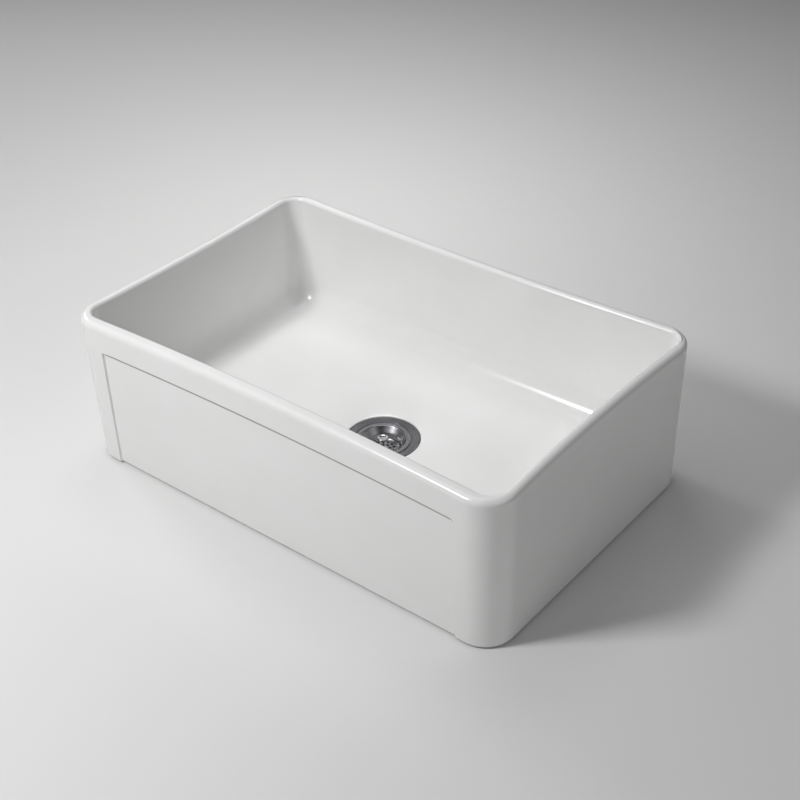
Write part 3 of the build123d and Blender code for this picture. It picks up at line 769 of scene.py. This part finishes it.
buildNut(nut)

# the other nodes keep their own shape and take a finish
finishes = dict(
    flange_seal=skins["seal"], under_gasket=skins["gasket"], slip_ring=skins["card"],
    outlet_crossbar=fixingSteel, guide_bush=skins["bush"], lift_post=fixingSteel,
    stopper_plate=fixingSteel, stopper_seal=skins["gasket"], stopper_nut=fixingSteel, post_clip=skins["clip"],
)
for nodeName, finish in finishes.items():
    slots = nodes[nodeName].material_slots
    for slot in slots:
        slot.material = finish
print("fixings finished")


studio = dict(
    floorColour="#e0dfdf", floorRoughness=0.6, floorSpecular=0.2, floorReach=12.0,
    fleckScale=260.0, fleckDepth=0.06,           # flecks per metre and their depth in mm
    skyColour="#ffffff", skyStrength=0.01, backdropStrength=0.5, aim=(0, 0, 0.12),
    fadeFrom=2.35, fadeTo=3.2,                   # m from the sink where floor and backdrop meet
    lamps=dict(                                  # degrees round from the front, degrees up, m away, m wide, W
        key=(336, 45, 2.0, 0.35, 23.5), frontSoft=(12, 32, 2.6, 1.2, 4), left=(262, 28, 3.0, 0.6, 12.5),
        leftSoft=(300, 65, 2.2, 1.4, 3.4), rightFill=(75, 25, 2.4, 1.2, 5.0),
        rightBack=(100, 35, 2.4, 1.2, 3.2), backLeft=(225, 30, 2.4, 1.2, 4.6), back=(180, 30, 2.4, 1.2, 2.8),
        top=(226, 71, 2.0, 0.9, 3.0), overhead=(0, 85, 2.2, 1.6, 1.6),
    ),
    # a narrow lamp over the floor behind
    pool=(0, 89, 1.6, 0.5, 1.35), poolAim=(-0.55, 0.6, 0.0), poolSpread=75,
)


def paintedFloor(s):
    # matt painted studio floor: a pale even grey with a trace of roller texture; far behind the sink it
    # passes into the backdrop's tone, for the camera only
    material, tree, shader = newMaterial("matt_painted_floor")
    place = addNode(tree, "TexCoord").outputs["Object"]
    fleck = addNode(tree, "TexNoise", inputs={"Vector": place, "Scale": s["fleckScale"], "Detail": 3.0})
    relief = addNode(tree, "Bump", inputs={"Height": fleck.outputs["Fac"], "Distance": s["fleckDepth"] * mm})
    tree.links.new(relief.outputs["Normal"], shader.inputs["Normal"])
    away = addNode(tree, "VectorMath", {"operation": "LENGTH"}, {0: place}).outputs["Value"]
    fade = addNode(tree, "MapRange", {"interpolation_type": "SMOOTHSTEP"},
                   {"Value": away, "From Min": s["fadeFrom"], "From Max": s["fadeTo"],
                    "To Max": s["backdropStrength"]}).outputs[0]
    seen = addNode(tree, "LightPath").outputs["Is Camera Ray"]
    glow = addNode(tree, "Math", {"operation": "MULTIPLY"}, {0: fade, 1: seen})
    tree.links.new(glow.outputs[0], shader.inputs["Emission Strength"])
    shader.inputs["Emission Color"].default_value = linear(s["skyColour"])
    material.cycles.emission_sampling = "NONE"
    shader.inputs["Base Color"].default_value = linear(s["floorColour"])
    shader.inputs["Roughness"].default_value = s["floorRoughness"]
    shader.inputs["Specular IOR Level"].default_value = s["floorSpecular"]
    return material


def softLamp(name, azimuth, elevation, distance, size, power, aim, spread=180):
    # a square softbox in the direction (sin a cos e, -cos a cos e, sin e) from its aim, facing it
    a, e = np.radians([azimuth, elevation])
    way = Vector((np.sin(a) * np.cos(e), -np.cos(a) * np.cos(e), np.sin(e)))
    data = bpy.data.lights.new(name, "AREA")
    data.shape, data.size, data.energy, data.spread = "SQUARE", size, power, np.radians(spread)
    lamp = bpy.data.objects.new(name, data)
    lamp.location = way * distance + Vector(aim)
    lamp.rotation_euler = way.to_track_quat("Z", "Y").to_euler()
    bpy.context.scene.collection.objects.link(lamp)


def buildStudio(s):
    reach = s["floorReach"]
    mesh = bpy.data.meshes.new("studio_floor")
    mesh.from_pydata([(-reach, -reach, 0), (reach, -reach, 0), (reach, reach, 0), (-reach, reach, 0)], [],
                     [(0, 1, 2, 3)])
    mesh.materials.append(paintedFloor(s))
    floor = bpy.data.objects.new("studio_floor", mesh)
    bpy.context.scene.collection.objects.link(floor)
    for name, settings in s["lamps"].items():
        softLamp(name, *settings, s["aim"])
    softLamp("pool", *s["pool"], s["poolAim"], s["poolSpread"])
    world = bpy.data.worlds.new("studio")
    bpy.context.scene.world = world
    world.use_nodes = True
    sky = world.node_tree.nodes["Background"]
    sky.inputs["Color"].default_value = linear(s["skyColour"])
    # only the camera sees the pale backdrop, so that the steel still mirrors a dark room
    seen = addNode(world.node_tree, "LightPath").outputs["Is Camera Ray"]
    strength = addNode(world.node_tree, "MapRange", inputs={"Value": seen, "To Min": s["skyStrength"],
                                                            "To Max": s["backdropStrength"]})
    world.node_tree.links.new(strength.outputs[0], sky.inputs["Strength"])


buildStudio(studio)
bpy.context.scene.view_settings.view_transform = "Standard"
print("studio lit")
